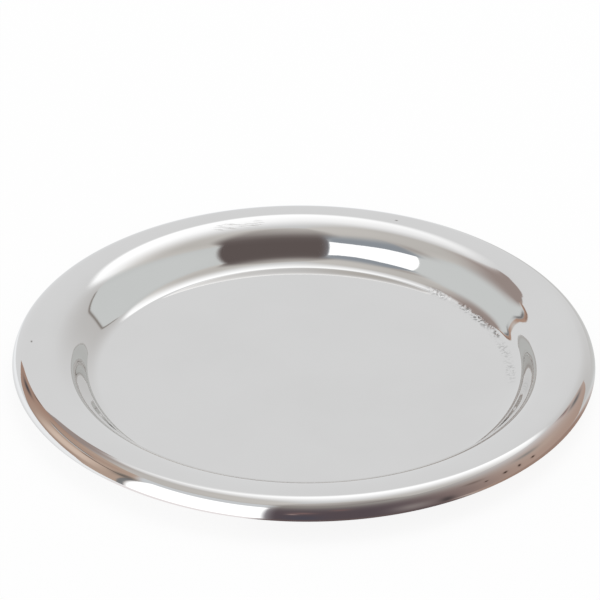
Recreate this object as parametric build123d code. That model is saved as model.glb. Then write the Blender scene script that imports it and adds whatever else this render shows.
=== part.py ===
from build123d import *
from math import cos, radians, sin
import os

# A round change tray, deep drawn from one stainless steel sheet.
# Lengths are in millimetres and angles in degrees.
# The Z axis is the tray's own axis, and Z = 0 is the surface that the tray stands on.

# Driving sizes
outer_diameter = 140.0
sheet_thickness = 0.7
# from the floor's upper side to the top of the rim
well_depth = 8.2
# slope of the straight stretch of wall above the level floor
wall_angle = 52.5
# radii of the upper side: floor to wall, wall to rim, over the broad rim, and down the outer lip
floor_fillet_radius = 4.9
inner_bend_radius = 8.6
rim_radius = 20.0
lip_radius = 4.4
# slopes at which the rim's broad arc takes over from the bend, and hands over to the lip
rim_start_angle = 13.0
rim_end_angle = 5.0
# how far the lip has turned down where it is trimmed
lip_end_angle = 81.0
# deburring of the trimmed edge, on both of its corners
edge_rounding = 0.2

# Slopes of the section line as it runs outward from the axis, round the trimmed edge and back
level = 0.0
lip_end = -lip_end_angle
across_edge = lip_end - 90
back_up = lip_end - 180

# Sizes that follow
outer_radius = outer_diameter / 2
rim_top_height = sheet_thickness + well_depth


def direction(slope):
    """Unit vector along a line of this slope, in the section's plane."""
    return Vector(cos(radians(slope)), sin(radians(slope)))


def upper_normal(slope):
    """Unit vector square to a line of this slope, on its upper side."""
    return Vector(-sin(radians(slope)), cos(radians(slope)))


def arc_between_slopes(centre, radius, first_slope, last_slope):
    """Arc that turns from one slope to another; a negative radius sags, a positive one bulges."""
    slopes = (first_slope, (first_slope + last_slope) / 2, last_slope)
    return ThreePointArc(*[centre + upper_normal(slope) * radius for slope in slopes])


# The arc centres, worked inward from the outer edge and down from the rim's top
rim_centre_height = rim_top_height - rim_radius
lip_centre_from_rim = upper_normal(-rim_end_angle) * (rim_radius - lip_radius)
# the edge's outer corner is the tray's widest place
lip_reach = edge_rounding + (lip_radius - edge_rounding) * sin(radians(lip_end_angle))
lip_centre = Vector(outer_radius - lip_reach, rim_centre_height + lip_centre_from_rim.Y)
rim_centre = lip_centre - lip_centre_from_rim
bend_centre = rim_centre + upper_normal(rim_start_angle) * (rim_radius - inner_bend_radius)

# The straight wall is as long as it takes to join the floor's fillet to the bend
wall_top = bend_centre + upper_normal(wall_angle) * inner_bend_radius
fillet_height = floor_fillet_radius * (1 - cos(radians(wall_angle)))
wall_foot_height = sheet_thickness + fillet_height
wall_length = (wall_top.Y - wall_foot_height) / sin(radians(wall_angle))
wall_foot = wall_top - direction(wall_angle) * wall_length
fillet_centre = wall_foot + upper_normal(wall_angle) * floor_fillet_radius


def section_side(depth):
    """Section line of the sheet at a depth under its upper side, from the axis to the lip."""
    fillet = arc_between_slopes(
        fillet_centre, -(floor_fillet_radius + depth), level, wall_angle
    )
    bend = arc_between_slopes(
        bend_centre, inner_bend_radius - depth, wall_angle, rim_start_angle
    )
    rim = arc_between_slopes(
        rim_centre, rim_radius - depth, rim_start_angle, -rim_end_angle
    )
    lip = arc_between_slopes(
        lip_centre, lip_radius - depth, -rim_end_angle, lip_end
    )
    floor = Line((0, sheet_thickness - depth), fillet @ 0)
    wall = Line(fillet @ 1, bend @ 0)
    return [floor, fillet, wall, bend, rim, lip]


def trimmed_edge():
    """The sheet's cut edge, square to the sheet, with both corners rounded."""
    outer_corner = lip_centre + upper_normal(lip_end) * (lip_radius - edge_rounding)
    inner_corner = lip_centre + upper_normal(lip_end) * (lip_radius - sheet_thickness + edge_rounding)
    outer = arc_between_slopes(outer_corner, edge_rounding, lip_end, across_edge)
    inner = arc_between_slopes(inner_corner, edge_rounding, across_edge, back_up)
    return [outer, Line(outer @ 1, inner @ 0), inner]


def pressed_tray():
    """The whole tray: floor, wall, rolled rim and lip are one sheet of even thickness."""
    upper_side = section_side(0)
    underside = section_side(sheet_thickness)
    axis_line = Line(upper_side[0] @ 0, underside[0] @ 0)
    outline = upper_side + trimmed_edge() + underside + [axis_line]
    section = Plane.XZ * make_face([edge for line in outline for edge in line.edges()])
    return revolve(section, Axis.Z)


def main():
    os.makedirs("parts", exist_ok=True)
    tray = pressed_tray()
    tray.label = "pressed_tray"
    export_step(tray, "parts/pressed_tray.step")
    box = tray.bounding_box().size
    print(f"pressed_tray {box.X:.2f} x {box.Y:.2f} x {box.Z:.2f} mm, {tray.volume:.1f} mm3")
    print(f"flat floor radius {fillet_centre.X:.2f} mm, straight wall {wall_length:.2f} mm")
    print(f"lip edge {min(v.Z for v in tray.vertices() if v.X > rim_centre.X):.2f} mm above the table")


main()
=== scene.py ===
from math import radians

import bpy
import numpy as np
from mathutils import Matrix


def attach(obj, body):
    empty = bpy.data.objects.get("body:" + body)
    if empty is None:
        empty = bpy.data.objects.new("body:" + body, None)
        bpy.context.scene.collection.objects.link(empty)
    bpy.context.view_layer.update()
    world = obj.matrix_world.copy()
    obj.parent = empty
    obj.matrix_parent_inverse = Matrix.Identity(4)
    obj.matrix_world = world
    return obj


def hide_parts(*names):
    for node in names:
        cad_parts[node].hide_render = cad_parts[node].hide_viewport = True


# A mirror-polished steel tray on a pale table. What it shows is mostly its surroundings, so the
# room around it is built too: a far dome, a low collar close round the tray and the table top.
# They light nothing and only the mirror sees them.
# Metres and degrees. Bearings go round the Z axis from the camera's side, positive to its left.

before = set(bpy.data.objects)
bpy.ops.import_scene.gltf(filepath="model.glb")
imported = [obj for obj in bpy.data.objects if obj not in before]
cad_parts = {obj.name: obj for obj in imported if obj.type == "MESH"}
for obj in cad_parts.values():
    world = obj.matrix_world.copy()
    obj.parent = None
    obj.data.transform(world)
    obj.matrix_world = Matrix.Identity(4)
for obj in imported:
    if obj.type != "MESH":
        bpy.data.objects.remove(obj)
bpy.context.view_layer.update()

# Section of the sheet, with the same sizes as the CAD model
MM = 0.001
OUTER_RADIUS = 70 * MM
SHEET = 0.7 * MM
WELL_DEPTH = 8.2 * MM
WALL_ANGLE = 52.5
FILLET_RADIUS = 4.9 * MM
BEND_RADIUS = 8.6 * MM
RIM_RADIUS = 20.0 * MM
LIP_RADIUS = 4.4 * MM
RIM_START = 13.0
RIM_END = 5.0
LIP_END = 81.0
EDGE_ROUNDING = 0.2 * MM
# The real sheet isn't quite true. Its wall bows, by this many degrees between the middle and the
# ends. It is steeper at the right by the lean, and less steep at the left by 2.2 times as much.
WALL_BOW = 3.0
LEAN = 1.4
# Fineness of the mesh
AROUND = 1080
ARC_ROWS = 48
LIP_ROWS = 86
EDGE_ROWS = 12
WALL_ROWS = 14
# shares of the floor's radius, closer together at its puckered edge
FLOOR_ROWS = np.concatenate([np.linspace(0, 0.93, 32)[1:], np.linspace(0.93, 1, 13)[1:-1]])

# Camera, fitted to the photograph
CAMERA_PLACE = (0.0, -0.82329, 0.51927)
CAMERA_TURN = (58.82242, -0.42601, 0.33025)
LENS_MM = 242.143
SENSOR_MM = 36.0

# Table, and the light that falls on it: a soft lamp and an even fill
HALF_TABLE = 6.0
WHITE = (1, 1, 1, 1)
PAPER = (0.9, 0.9, 0.9, 1)
# share of pure white in what the camera sees of the table; the rest is lit paper with shadows
WHITE_SHARE = 0.9
FILL_STRENGTH = 0.8
BACKDROP_STRENGTH = 1.0
LAMP_SIZE = 1.2
LAMP_WATTS = 6
LAMP_PLACE = (0.25, 0.55, 1.3)
LAMP_TURN = (-23, 11, 0)

# Dome of the far room, with its points closer together where it has edges
FAR_RADIUS = 20.0
FAR_BEARINGS = np.concatenate([
    np.arange(-180, -140, 0.4), np.arange(-140, -115, 0.15), np.arange(-115, 115, 0.4),
    np.arange(115, 172, 0.12), np.arange(172, 180, 0.4),
])
FAR_HEIGHTS = np.concatenate([np.arange(0, 60, 0.25), np.arange(60, 90.5, 0.5)])
# Collar round the tray, open at the back
COLLAR_RADIUS = 0.1
COLLAR_BEARINGS = np.linspace(-104, 109, 700)
COLLAR_SHARES = np.linspace(0, 1, 160)
# Mirrored table top: distances from the axis in millimetres, out to the dome
TABLE_BEARINGS = np.arange(-180, 180, 1.0)
TABLE_REACHES = np.concatenate([np.linspace(1, 300, 180), [1000, 5000, FAR_RADIUS / MM]])
# it lies this much under the table, so that it doesn't coincide with the tray's underside
TABLE_DROP = 0.02 * MM

# Share of the light that the steel mirrors. The surroundings are written as the colours that they
# show in the steel, 0 to 255, and are this much brighter themselves.
STEEL = (0.765, 0.75, 0.735)
MIRRORED = np.array(STEEL)

# Colours that the main surroundings show in the steel; over 255 is brighter than white
PALE_BACK = (209, 209, 209)
BACK_IN_SHADE = (184, 182, 180)
WARM_WALL = (147, 134, 129)
WARM_SEAM = (160, 126, 108)
DARK_FRONT = (91, 82, 80)
BLUISH_FRIEZE = (138, 143, 149)
FAR_BRIGHT_PANEL = (264, 264, 264)
RIGHT_WARM = (167, 144, 132)
WARM_IN_DARK = (84, 74, 78)
LEFT_WARM = (172, 151, 137)
NEAR_BRIGHT_PANEL = (270, 270, 270)
TABLE_TOP = (208, 208, 208)

# Soft spots of painted light and shade on the collar: bearing, height in millimetres, half sizes,
# colour and strength
LIGHT_AND_SHADE_SPOTS = (
    (-97, 32, 4.0, 5.5, (84, 86, 88), 0.75), (-68, 35, 4.5, 6.5, (112, 114, 114), 0.6),
    (-47, 32, 3.0, 5, (92, 78, 72), 0.5), (99, 28, 3.6, 4.5, (60, 60, 64), 0.9),
    (102, 47, 1.3, 5, (82, 74, 72), 0.7), (-99, 50, 1.8, 7, (84, 78, 78), 0.7),
    (-96, 45, 2.0, 4, (140, 106, 100), 0.6), (-27, 11, 5, 10, (150, 142, 138), 0.6),
    (-36, 6, 2.0, 8, (66, 60, 60), 0.8), (-10, 37, 2.6, 5, (122, 94, 92), 0.6),
    (0, 25, 3.0, 4, (132, 104, 100), 0.7), (2.5, 20, 1.4, 2.0, (200, 170, 160), 0.6),
    (0, 8, 4.5, 8, (70, 72, 84), 0.6),
)

# Pits in the steel: bearing, distance from the axis in millimetres, and half sizes of both
PITS = (
    (-42.0, 69.43, 0.5, 0.09), (-45.8, 69.49, 0.35, 0.11), (-49.8, 69.47, 0.5, 0.08),
    (-37.2, 69.45, 0.4, 0.05), (89.9, 65.39, 0.25, 0.18), (-158.8, 63.78, 0.25, 0.18),
)
PIT_STRENGTH = 1.3
# Colours of worn steel, and the darker colour of patches on the puckers
SMEARED = (0.7, 0.685, 0.67, 1)
PITTED = (0.07, 0.045, 0.035, 1)
DARKER_ON_PUCKERS = (0.2, 0.19, 0.18, 1)
# Noise cells in a metre
CLOUD_SCALE = 38
HAZE_SCALE = 55
PATCH_SCALE = 170
PUCKER_SCALE = 900
STROKE_SCALE = 1100
PUCKER_DARK_SCALE = 1250
GRAIN_SCALE = 2400
# stretches the noise into scratches that run along X
STROKE_STRETCH = (0.09, 2.0, 1)
RELIEF_DEPTH = 0.1 * MM


# Small tools for writing smooth patches of colour

def rise(x, low, high):
    """0 up to low, 1 from high on, and a smooth step from one to the other."""
    t = np.clip((x - low) / (high - low), 0, 1)
    return t * t * (3 - 2 * t)


def fall(x, low, high):
    return 1 - rise(x, low, high)


def between(x, low, high, soft):
    """1 between low and high, 0 outside, with ends this soft."""
    return rise(x, low - soft, low + soft) * fall(x, high - soft, high + soft)


def stripe(x, centre, half):
    """A soft line of this half width."""
    return np.exp(-(((x - centre) / half) ** 2))


def spot(x, y, cx, cy, sx, sy):
    """A soft oval of these half sizes."""
    return np.exp(-(((x - cx) / sx) ** 2) - ((y - cy) / sy) ** 2)


def tint(colour, target, amount):
    """A colour moved toward another by this share."""
    return colour + (np.asarray(target, float) - colour) * np.asarray(amount)[..., None]


def plain(shape, colour):
    return np.zeros(shape + (3,)) + np.asarray(colour, float)


def turn(angle):
    return (angle + 180) % 360 - 180


def radiance(shown):
    """Linear light of a thing that shows this colour in the steel."""
    c = np.clip(shown, 0, None) / 255
    return np.where(c <= 0.04045, c / 12.92, ((c + 0.055) / 1.055) ** 2.4) / MIRRORED


# The surroundings

def pale_walls(az, el):
    """The pale walls and roof."""
    tone = np.interp(el, (38, 45, 52, 60, 68, 76, 86), (197, 194, 187, 180, 182, 187, 190))
    c = tone[..., None] + [-1, 1, 0] + rise(el, 44, 54)[..., None] * [4, -1.5, -5]
    # back wall, behind the side panels' edges; its right part stands in shade
    right_edge = np.interp(
        el, (7, 13, 20, 28, 34, 39), (-122, -124.6, -127.5, -129.5, -131.5, -134)
    )
    left_edge = np.interp(el, (7, 12, 20, 30, 36, 40), (125, 127.5, 134, 139.5, 140.5, 149))
    right_back = fall(az, right_edge - 0.6, right_edge + 0.6)
    left_back = rise(az, left_edge - 0.6, left_edge + 0.6)
    back = right_back + left_back
    shade = rise(az, -180, -118) * fall(az, -118, -110) * fall(el, 38, 50)
    c = tint(c, PALE_BACK, back * fall(el, 40, 56))
    c = tint(c, BACK_IN_SHADE, back * shade)
    # pale patch high at the back, left of its middle
    c = tint(c, (203, 202, 202), 0.8 * between(az, 150, 178, 9) * between(el, 44, 66, 6))
    # warm wall over the left panel, down to the back's top edge
    sill = np.interp(az, (104, 120, 134, 138, 149, 162, 168), (38, 33, 33, 36, 40.2, 42, 42.6))
    soft = np.interp(az, (104, 120, 134, 138), (9, 12, 3, 0.35))
    brow = np.interp(az, (100, 130, 144, 150, 156, 167.5), (52, 54, 55.6, 53, 50, 43.9))
    brow_soft = np.interp(az, (100, 135, 150, 158, 166), (9, 9, 5.5, 2.5, 0.7))
    band = rise(az, 92, 138) * fall(az, 166.5, 168) * rise(el, sill - soft, sill + soft)
    band = band * fall(el, brow - brow_soft, brow + brow_soft)
    c = tint(c, WARM_WALL, band)
    # warm seam and dark lines along the left panel's edge, and a dark line along the right one's
    seam = between(az, left_edge - 3.4, left_edge - 0.2, 0.6)
    c = tint(c, WARM_SEAM, 0.85 * seam * between(el, 8, 36, 3))
    line = stripe(az, left_edge - 4.6, 1.2)
    c = tint(c, (84, 80, 80), 0.75 * line * between(el, 12, 28, 4))
    line = stripe(az, left_edge - 1.2, 0.8)
    c = tint(c, (120, 96, 86), 0.6 * line * between(el, 22, 38, 2))
    line = stripe(az, right_edge, 1.0)
    return tint(c, (112, 104, 98), 0.75 * line * between(el, 10, 38, 2))


def dark_front(c, az, el):
    """The dark zone in front, darkest low down."""
    right = np.interp(
        el, (46, 51, 56, 62, 66, 70, 75, 80, 90), (-49, -52, -58, -64, -67, -72, -80, -97, -120)
    )
    right_soft = np.interp(el, (46, 52, 60, 70, 80), (2.2, 4, 9, 18, 32))
    left = np.interp(el, (52, 62, 80), (13.5, 19, 23))
    left_soft = np.interp(el, (50, 56, 62, 80), (0.9, 3, 9, 14))
    front = rise(az, right - right_soft, right + right_soft)
    front = front * fall(az, left - left_soft, left + left_soft)
    depth = np.interp(
        el, (45, 55, 60, 65, 70, 75, 80, 90), (1, 0.93, 0.82, 0.7, 0.52, 0.4, 0.3, 0.1)
    )
    return tint(c, DARK_FRONT, front * depth)


def bright_panel(c, az, el):
    """The bright panel's upper part, the bluish frieze over it, and a warm post at its left."""
    c = tint(c, BLUISH_FRIEZE, between(az, 13, 66, 5) * fall(el, 52, 74) * rise(el, 36, 42))
    c = tint(c, (156, 150, 146), 0.8 * spot(az, el, 72, 54, 8, 9))
    head = np.interp(az, (14, 20, 30, 45, 62), (46.8, 45.6, 44.3, 42.8, 39.6))
    return tint(c, FAR_BRIGHT_PANEL, between(az, 13.9, 63, 0.5) * fall(el, head - 0.5, head + 0.5))


def overhead_lamp(c, az, el):
    """The lamp over the tray, toward the back."""
    a = turn(az + 160)
    foot = np.interp(
        a, (-50, -35, -28, -20, -5, 10, 25, 45), (50, 47, 44, 41.2, 41.8, 43.5, 46.5, 50)
    )
    soft = np.interp(a, (-45, -25, -18, 0, 10, 25, 45), (4, 3, 1.4, 1.4, 2.5, 4, 6))
    width = rise(a, -56, -12) * fall(a, -10, 66)
    tone = np.interp(el, (46, 52, 58, 64, 70, 75, 80, 90), (260, 252, 242, 232, 221, 211, 201, 190))
    return tint(c, tone[..., None], width * rise(el, foot - soft, foot + soft))


def far(az, el):
    """The far room by direction: bearing and height above the horizon."""
    c = pale_walls(az, el)
    for layer in (dark_front, bright_panel, overhead_lamp):
        c = layer(c, az, el)
    return c


def collar(th, h):
    """The low things close round the tray: bearing, and height in millimetres."""
    # warm zone at the right, darkening toward the front and greying upward
    low = tint(plain(np.shape(th), RIGHT_WARM), WARM_IN_DARK, rise(th, -66, -14))
    high = tint(plain(np.shape(th), (203, 198, 197)), (136, 131, 127), rise(th, -110, -5))
    start = np.interp(th, (-60, -30), (0, 20))
    c = tint(low, high, rise(h, start, 84))
    c = tint(c, (178, 158, 145), 0.7 * spot(th, h, -72, 27, 7, 9))
    # grey behind the bright panel and the left warm zone
    c = tint(c, (196, 198, 200), rise(th, 6, 12))
    # warm zone at the left, with light and dark patches and lines
    edge = 46 + 0.27 * np.maximum(h - 37, 0)
    warm = rise(th, edge - 2, edge + 3)
    c = tint(c, LEFT_WARM, warm)
    c = tint(c, (158, 131, 117), warm * rise(th, 78, 97))
    c = tint(c, (176, 172, 168), 0.5 * warm * rise(h, 70, 110))
    c = tint(c, (206, 186, 171), 0.9 * between(th, 57, 80, 7) * between(h, 12, 30, 5))
    c = tint(c, (164, 140, 126), 0.7 * between(th, 56, 92, 5) * between(h, 44, 62, 5))
    c = tint(c, (186, 196, 202), 0.85 * between(th, 64, 84, 2) * stripe(h, 38, 1.6))
    c = tint(c, (74, 68, 66), 0.8 * between(th, 64, 86, 2) * stripe(h, 41, 1.3))
    line = stripe(h, 31 + (th - 57) * 0.15, 1.2)
    c = tint(c, (72, 62, 58), 0.8 * between(th, 49, 66, 1.5) * line)
    c = tint(c, (104, 107, 110), 0.8 * between(th, 46.2, 48.3, 0.5) * fall(h, 30, 40))
    c = tint(c, (150, 128, 115), 0.6 * between(th, 62, 100, 4) * fall(h, 8, 13))
    c = tint(c, (96, 92, 88), 0.8 * spot(th, h, 50, 34, 3.2, 9))
    c = tint(c, NEAR_BRIGHT_PANEL, between(th, 9.5, 45.5, 0.9) * fall(h, 50, 57))
    # soft darker and lighter spots of painted light and shade
    for cx, cy, sx, sy, colour, share in LIGHT_AND_SHADE_SPOTS:
        c = tint(c, colour, share * spot(th, h, cx, cy, sx, sy))
    return c


def collar_edges(th):
    """Foot and top of the collar at a bearing, in millimetres."""
    foot = np.interp(
        th, (-103, -100, -97, -92, -88, 60, 63, 72, 88, 98, 103, 109),
        (25, 18, 12, 6, 0, 0, 3.5, 5.5, 7.5, 12.5, 18, 23),
    )
    top = np.interp(
        th, (-109, -103, -90, -75, 38, 45, 56, 66, 74, 82, 88, 95, 103, 109),
        (30, 62, 80, 100, 100, 86, 85, 88, 91, 90, 84, 72, 56, 32),
    )
    return foot, top


def table_top(th, r):
    """The table as the steel shows it: bearing, and distance from the axis in millimetres."""
    c = plain(np.shape(th), TABLE_TOP)
    c = tint(c, (188, 187, 185), between(th, -158, -92, 8))
    c = tint(c, (224, 224, 226), rise(np.abs(th), 154, 170) * fall(r, 150, 300))
    c = tint(c, (231, 232, 233), between(th, 46, 112, 5) * rise(r, 72, 86))
    # in front of the bright panel, the dark zone and the right warm zone
    c = tint(c, (226, 220, 220), between(th, 9.5, 45.5, 2))
    c = tint(c, NEAR_BRIGHT_PANEL, between(th, 9.5, 45.5, 2) * fall(r, 120, 200) * rise(r, 90, 104))
    c = tint(c, (95, 82, 82), between(th, -38, 9.5, 3) * fall(r, 110, 200))
    return tint(c, (150, 125, 113), between(th, -84, -38, 8) * fall(r, 80, 150))


# Meshes and materials

def around(bearing):
    """Unit vectors in the plan for bearings in degrees."""
    b = np.radians(bearing)
    return -np.sin(b), -np.cos(b)


def grid_index(rows, columns, wrap):
    """Numbers of a grid's points; wrap repeats the first column after the last."""
    index = np.arange(rows * columns).reshape(rows, columns)
    return np.concatenate([index, index[:, :1]], 1) if wrap else index


def grid_quads(index):
    """Quads between neighbours in a grid of point numbers."""
    quads = np.stack([index[:-1, :-1], index[:-1, 1:], index[1:, 1:], index[1:, :-1]], -1)
    return quads.reshape(-1, 4).tolist()


def grid_mesh(name, points, wrap=False):
    """Mesh of quads over a grid of points; wrap joins the last column to the first."""
    quads = grid_quads(grid_index(*points.shape[:2], wrap))
    mesh = bpy.data.meshes.new(name)
    mesh.from_pydata(points.reshape(-1, 3).tolist(), [], quads)
    mesh.update()
    return mesh


def add_object(name, mesh, material):
    mesh.materials.append(material)
    thing = bpy.data.objects.new(name, mesh)
    bpy.context.scene.collection.objects.link(thing)
    return thing


def new_material(name):
    material = bpy.data.materials.new(name)
    material.use_nodes = True
    return material, material.node_tree.nodes, material.node_tree.links


def glow_material(name):
    """Light as painted on the mesh."""
    material, nodes, links = new_material(name)
    nodes.clear()
    paint = nodes.new("ShaderNodeAttribute")
    paint.attribute_name = "glow"
    glow = nodes.new("ShaderNodeEmission")
    out = nodes.new("ShaderNodeOutputMaterial")
    links.new(paint.outputs["Color"], glow.inputs["Color"])
    links.new(glow.outputs["Emission"], out.inputs["Surface"])
    material.cycles.emission_sampling = "NONE"
    return material


def mirrored_only(name, points, shown, material, wrap=False):
    """A piece of the surroundings that only mirrors see."""
    mesh = grid_mesh(name, points, wrap)
    paint = mesh.attributes.new("glow", "FLOAT_COLOR", "POINT")
    light = radiance(shown).reshape(-1, 3)
    paint.data.foreach_set("color", np.column_stack([light, np.ones(len(light))]).ravel())
    thing = add_object(name, mesh, material)
    for kind in ("camera", "diffuse", "transmission", "volume_scatter", "shadow"):
        setattr(thing, f"visible_{kind}", False)


def build_surroundings():
    glow = glow_material("room_glow")

    bearing, height = np.meshgrid(FAR_BEARINGS, FAR_HEIGHTS)
    x, y = around(bearing)
    flat = np.cos(np.radians(height))
    dome = np.stack([x * flat, y * flat, np.sin(np.radians(height))], -1) * FAR_RADIUS
    mirrored_only("far_room", dome, far(bearing, height), glow, wrap=True)

    bearing, share = np.meshgrid(COLLAR_BEARINGS, COLLAR_SHARES)
    foot, top = collar_edges(bearing)
    height = foot + (top - foot) * share
    x, y = around(bearing)
    ring = np.stack([x * COLLAR_RADIUS, y * COLLAR_RADIUS, height * MM], -1)
    mirrored_only("low_collar", ring, collar(bearing, height), glow)

    bearing, reach = np.meshgrid(TABLE_BEARINGS, TABLE_REACHES)
    x, y = around(bearing)
    disc = np.stack([x * reach * MM, y * reach * MM, np.full_like(x, -TABLE_DROP)], -1)
    mirrored_only("table_in_mirror", disc, table_top(bearing, reach), glow, wrap=True)


build_surroundings()


# The tray

def upright(slope):
    """Unit vectors square to a section line of this slope, on its upper side."""
    s = np.radians(slope)
    return np.stack([-np.sin(s), np.cos(s)], -1)


def section(wall_angle):
    """Points and outward normals of the closed section, from the axis over the rim and back."""
    lip_from_rim = upright(-RIM_END) * (RIM_RADIUS - LIP_RADIUS)
    rim_height = SHEET + WELL_DEPTH - RIM_RADIUS
    lip_reach = EDGE_ROUNDING + (LIP_RADIUS - EDGE_ROUNDING) * np.sin(radians(LIP_END))
    lip = np.array([OUTER_RADIUS - lip_reach, rim_height + lip_from_rim[1]])
    rim = lip - lip_from_rim
    bend = rim + upright(RIM_START) * (RIM_RADIUS - BEND_RADIUS)
    # the wall, stretched to reach from the floor's fillet to the bend
    end_slope = wall_angle - WALL_BOW * 2 / 3
    share = np.linspace(0, 1, WALL_ROWS)
    slopes = end_slope + WALL_BOW * (1 - (2 * share - 1) ** 2)
    steps = np.stack([np.cos(np.radians(slopes)), np.sin(np.radians(slopes))], -1)
    run = np.concatenate([[[0, 0]], np.cumsum((steps[1:] + steps[:-1]) / 2, 0)])
    wall_top = bend + upright(end_slope) * BEND_RADIUS
    foot_height = SHEET + FILLET_RADIUS * (1 - np.cos(radians(end_slope)))
    run *= (wall_top[1] - foot_height) / run[-1, 1]
    wall = wall_top - run[-1] + run
    fillet = wall[0] + upright(end_slope) * FILLET_RADIUS

    def arc(centre, radius, first, last, rows, side=1):
        turns = np.linspace(first, last, rows)
        return centre + upright(turns) * radius, upright(turns) * side

    def skin(depth, side):
        floor = FLOOR_ROWS[:, None] * [fillet[0], 0] + [0, SHEET - depth]
        parts = [
            (floor, np.tile([0.0, 1.0], (len(floor), 1)) * side),
            arc(fillet, -(FILLET_RADIUS + depth), 0, end_slope, ARC_ROWS, side),
            (wall[1:-1] - upright(slopes[1:-1]) * depth, upright(slopes[1:-1]) * side),
            arc(bend, BEND_RADIUS - depth, end_slope, RIM_START, ARC_ROWS, side),
            arc(rim, RIM_RADIUS - depth, RIM_START, -RIM_END, ARC_ROWS, side),
            arc(lip, LIP_RADIUS - depth, -RIM_END, -LIP_END, LIP_ROWS, side),
        ]
        return [np.concatenate(part) for part in zip(*parts)]

    def corner(radius, first):
        centre = lip + upright(-LIP_END) * radius
        return arc(centre, EDGE_ROUNDING, first, first - 90, EDGE_ROWS)

    upper, upper_normals = skin(0, 1)
    under, under_normals = skin(SHEET, -1)
    outer, outer_normals = corner(LIP_RADIUS - EDGE_ROUNDING, -LIP_END)
    inner, inner_normals = corner(LIP_RADIUS - SHEET + EDGE_ROUNDING, -LIP_END - 90)
    points = np.concatenate([upper, outer[1:], inner, under[::-1][1:]])
    normals = np.concatenate(
        [upper_normals, outer_normals[1:], inner_normals, under_normals[::-1][1:]]
    )
    return points, normals


def wear_marks(where, facing):
    """Wear at each point: pits red, puckers green, scratches blue, dull underside alpha."""
    reach = np.hypot(where[:, 0], where[:, 1]) / MM
    th = np.degrees(np.arctan2(-where[:, 0], -where[:, 1]))
    above = (facing[:, 2] > -0.15) & (where[:, 2] > 0.6 * MM)
    pits = np.zeros(len(where))
    for bearing, radius, wide, high in PITS:
        pits += PIT_STRENGTH * spot(th, reach, bearing, radius, wide, high)
    # puckers along the right edge of the floor, fading toward the front
    puckers = between(th, -141, -87, 4) * rise(reach, 48.3, 49.6) * fall(reach, 50.4, 51.4)
    puckers = puckers * (1 - 0.65 * rise(th, -112, -98))
    # scratches on the far inner rim
    scratches = between(th, 158, 169.5, 1.5) * between(reach, 58.9, 60.7, 0.4)
    dull = 1.0 - above
    return np.stack([np.clip(pits, 0, 1) * above, puckers * above, scratches * above, dull], -1)


def tray_mesh(name):
    """The section swept round the axis, leaning with the bearing, and closed at the axis."""
    bearing = np.arange(AROUND) * (360 / AROUND)
    x, y = around(bearing)
    lean = LEAN * (1.6 * x - 0.6 * x * x)
    # how the section moves when its wall gets one degree steeper
    plain_section, steep_section = section(WALL_ANGLE), section(WALL_ANGLE + 1)

    def ring(true, steep):
        swept = true[:, None] + (steep - true)[:, None] * lean[:, None]
        return np.stack([swept[..., 0] * x, swept[..., 0] * y, swept[..., 1]], -1)

    grid, facing = (ring(*pair) for pair in zip(plain_section, steep_section))
    facing /= np.linalg.norm(facing, axis=-1, keepdims=True)
    rows, columns = grid.shape[:2]
    index = grid_index(rows, columns, wrap=True)
    top, bottom = rows * columns, rows * columns + 1
    caps = [(top, b, a) for a, b in zip(index[0, :-1], index[0, 1:])]
    caps += [(bottom, a, b) for a, b in zip(index[-1, :-1], index[-1, 1:])]
    where = np.concatenate([grid.reshape(-1, 3), [[0, 0, SHEET], [0, 0, 0]]])
    facing = np.concatenate([facing.reshape(-1, 3), [[0, 0, 1], [0, 0, -1]]])
    mesh = bpy.data.meshes.new(name)
    faces = grid_quads(index) + [tuple(int(i) for i in c) for c in caps]
    mesh.from_pydata(where.tolist(), [], faces)
    mesh.polygons.foreach_set("use_smooth", np.ones(len(mesh.polygons), bool))
    mesh.update()
    mesh.normals_split_custom_set_from_vertices(facing.tolist())
    wear = mesh.attributes.new("wear", "FLOAT_COLOR", "POINT")
    wear.data.foreach_set("color", wear_marks(where, facing).ravel())
    return mesh


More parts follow.
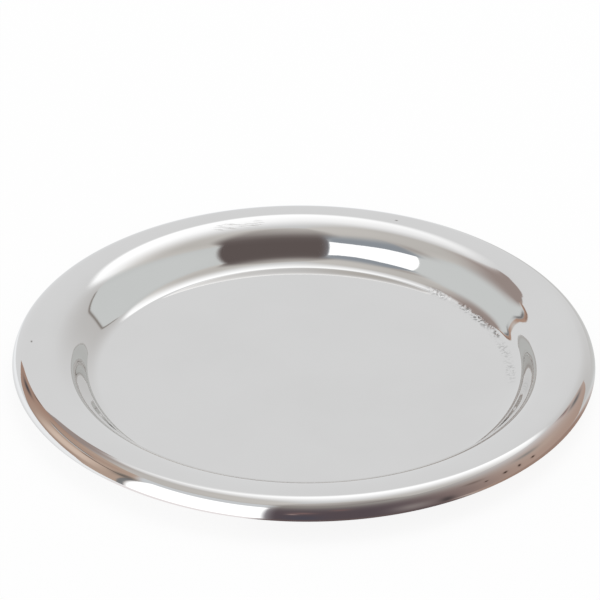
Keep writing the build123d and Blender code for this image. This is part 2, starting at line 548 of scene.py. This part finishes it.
def steel_material():
    material, nodes, links = new_material("polished_steel")
    steel = nodes["Principled BSDF"]
    steel.inputs["Metallic"].default_value = 1
    place = nodes.new("ShaderNodeTexCoord")
    wear = nodes.new("ShaderNodeAttribute")
    wear.attribute_name = "wear"
    kinds = nodes.new("ShaderNodeSeparateColor")
    links.new(wear.outputs["Color"], kinds.inputs["Color"])
    pits, puckers, scratches = (kinds.outputs[name] for name in ("Red", "Green", "Blue"))

    def feed(socket, value):
        if isinstance(value, (int, float, tuple)):
            socket.default_value = value
        else:
            links.new(value, socket)

    def noise(scale, detail, source=None):
        node = nodes.new("ShaderNodeTexNoise")
        node.inputs["Scale"].default_value = scale
        node.inputs["Detail"].default_value = detail
        links.new(source or place.outputs["Object"], node.inputs["Vector"])
        return node.outputs["Fac"]

    def spread(value, low, high, new_low, new_high):
        node = nodes.new("ShaderNodeMapRange")
        for name, number in zip(
            ("Value", "From Min", "From Max", "To Min", "To Max"),
            (value, low, high, new_low, new_high),
        ):
            feed(node.inputs[name], number)
        return node.outputs["Result"]

    def math(kind, first, second):
        node = nodes.new("ShaderNodeMath")
        node.operation = kind
        feed(node.inputs[0], first)
        feed(node.inputs[1], second)
        return node.outputs[0]

    def blend(first, second, share):
        node = nodes.new("ShaderNodeMix")
        node.data_type = "RGBA"
        for name, value in (("A", first), ("B", second), ("Factor", share)):
            feed(node.inputs[name], value)
        return node.outputs["Result"]

    # colour: clean steel, faint cloudy smears, dark pits, darker patches on the puckers
    clouds = spread(noise(CLOUD_SCALE, 6), 0.42, 0.75, 0, 0.3)
    colour = blend(blend((*STEEL, 1), SMEARED, clouds), PITTED, pits)
    patches = math("MULTIPLY", spread(noise(PATCH_SCALE, 2), 0.4, 0.58, 0.1, 1), puckers)
    # darker patches over the puckers
    pucker_dark = math("MULTIPLY", spread(noise(PUCKER_DARK_SCALE, 3), 0.47, 0.6, 0, 0.85), patches)
    links.new(blend(colour, DARKER_ON_PUCKERS, pucker_dark), steel.inputs["Base Color"])

    # roughness: polish with handling haze, a duller underside and rough pits
    haze = spread(noise(HAZE_SCALE, 5), 0.35, 0.7, 0.012, 0.045)
    under = math("MULTIPLY", wear.outputs["Alpha"], 0.24)
    rough = math("MULTIPLY", pits, 0.4)
    links.new(math("ADD", math("ADD", haze, under), rough), steel.inputs["Roughness"])

    # relief: scratches, puckers at the floor's edge, and a fine grain all over
    stretch = nodes.new("ShaderNodeMapping")
    stretch.inputs["Scale"].default_value = STROKE_STRETCH
    links.new(place.outputs["Object"], stretch.inputs["Vector"])
    strokes = spread(noise(STROKE_SCALE, 3, stretch.outputs["Vector"]), 0.52, 0.6, 0, 0.4)
    scratched = math("MULTIPLY", strokes, scratches)
    puckered = math("MULTIPLY", noise(PUCKER_SCALE, 3), math("MULTIPLY", patches, 0.9))
    grain = math("MULTIPLY", noise(GRAIN_SCALE, 2), 0.008)
    height = math("ADD", math("ADD", scratched, puckered), grain)
    relief = nodes.new("ShaderNodeBump")
    relief.inputs["Strength"].default_value = 1
    relief.inputs["Distance"].default_value = RELIEF_DEPTH
    links.new(height, relief.inputs["Height"])
    links.new(relief.outputs["Normal"], steel.inputs["Normal"])
    return material


tray = add_object("polished_tray", tray_mesh("polished_tray"), steel_material())
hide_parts("pressed_tray")
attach(tray, "root")


# Table, light and camera

def seen_directly(nodes, links):
    """1 for rays from the camera, from a mirror or through glass, 0 for light falling on things."""
    path = nodes.new("ShaderNodeLightPath")
    value = path.outputs["Is Camera Ray"]
    for kind in ("Is Glossy Ray", "Is Transmission Ray"):
        either = nodes.new("ShaderNodeMath")
        either.operation = "MAXIMUM"
        links.new(value, either.inputs[0])
        links.new(path.outputs[kind], either.inputs[1])
        value = either.outputs[0]
    return value


def mix_out(nodes, links, share, first, second, out):
    """Ends a node tree in a mix: the second shader by the share, the first by the rest."""
    mix = nodes.new("ShaderNodeMixShader")
    links.new(share, mix.inputs["Fac"])
    links.new(first.outputs[0], mix.inputs[1])
    links.new(second.outputs[0], mix.inputs[2])
    links.new(mix.outputs[0], out.inputs["Surface"])


def pale_material(name):
    """Pale to the camera, and shaded by what stands on it."""
    material, nodes, links = new_material(name)
    nodes.clear()
    out = nodes.new("ShaderNodeOutputMaterial")
    white = nodes.new("ShaderNodeEmission")
    white.inputs["Color"].default_value = WHITE
    paper = nodes.new("ShaderNodeBsdfDiffuse")
    paper.inputs["Color"].default_value = PAPER
    share = nodes.new("ShaderNodeMath")
    share.operation = "MULTIPLY"
    share.inputs[1].default_value = WHITE_SHARE
    links.new(seen_directly(nodes, links), share.inputs[0])
    mix_out(nodes, links, share.outputs[0], paper, white, out)
    return material


def studio_world(name):
    """White to the camera, and a softer even light on the things themselves."""
    world = bpy.data.worlds.new(name)
    world.use_nodes = True
    nodes, links = world.node_tree.nodes, world.node_tree.links
    nodes.clear()
    out = nodes.new("ShaderNodeOutputWorld")

    def backdrop(strength):
        node = nodes.new("ShaderNodeBackground")
        node.inputs["Color"].default_value = WHITE
        node.inputs["Strength"].default_value = strength
        return node

    fill, white = backdrop(FILL_STRENGTH), backdrop(BACKDROP_STRENGTH)
    mix_out(nodes, links, seen_directly(nodes, links), fill, white, out)
    return world


corners = np.array([[[-1, -1, 0], [1, -1, 0]], [[-1, 1, 0], [1, 1, 0]]]) * HALF_TABLE
table = add_object("table", grid_mesh("table", corners), pale_material("pale_table"))
table.visible_glossy = False

bpy.context.scene.world = studio_world("studio")

lamp = bpy.data.objects.new("soft_lamp", bpy.data.lights.new("soft_lamp", "AREA"))
lamp.data.shape = "DISK"
lamp.data.size = LAMP_SIZE
lamp.data.energy = LAMP_WATTS
lamp.location = LAMP_PLACE
lamp.rotation_euler = [radians(a) for a in LAMP_TURN]
lamp.visible_glossy = False
bpy.context.scene.collection.objects.link(lamp)

camera = bpy.data.objects.new("camera", bpy.data.cameras.new("camera"))
camera.data.lens = LENS_MM
camera.data.sensor_width = SENSOR_MM
camera.location = CAMERA_PLACE
camera.rotation_euler = [radians(a) for a in CAMERA_TURN]
bpy.context.scene.collection.objects.link(camera)
bpy.context.scene.camera = camera
bpy.context.scene.view_settings.view_transform = "Standard"
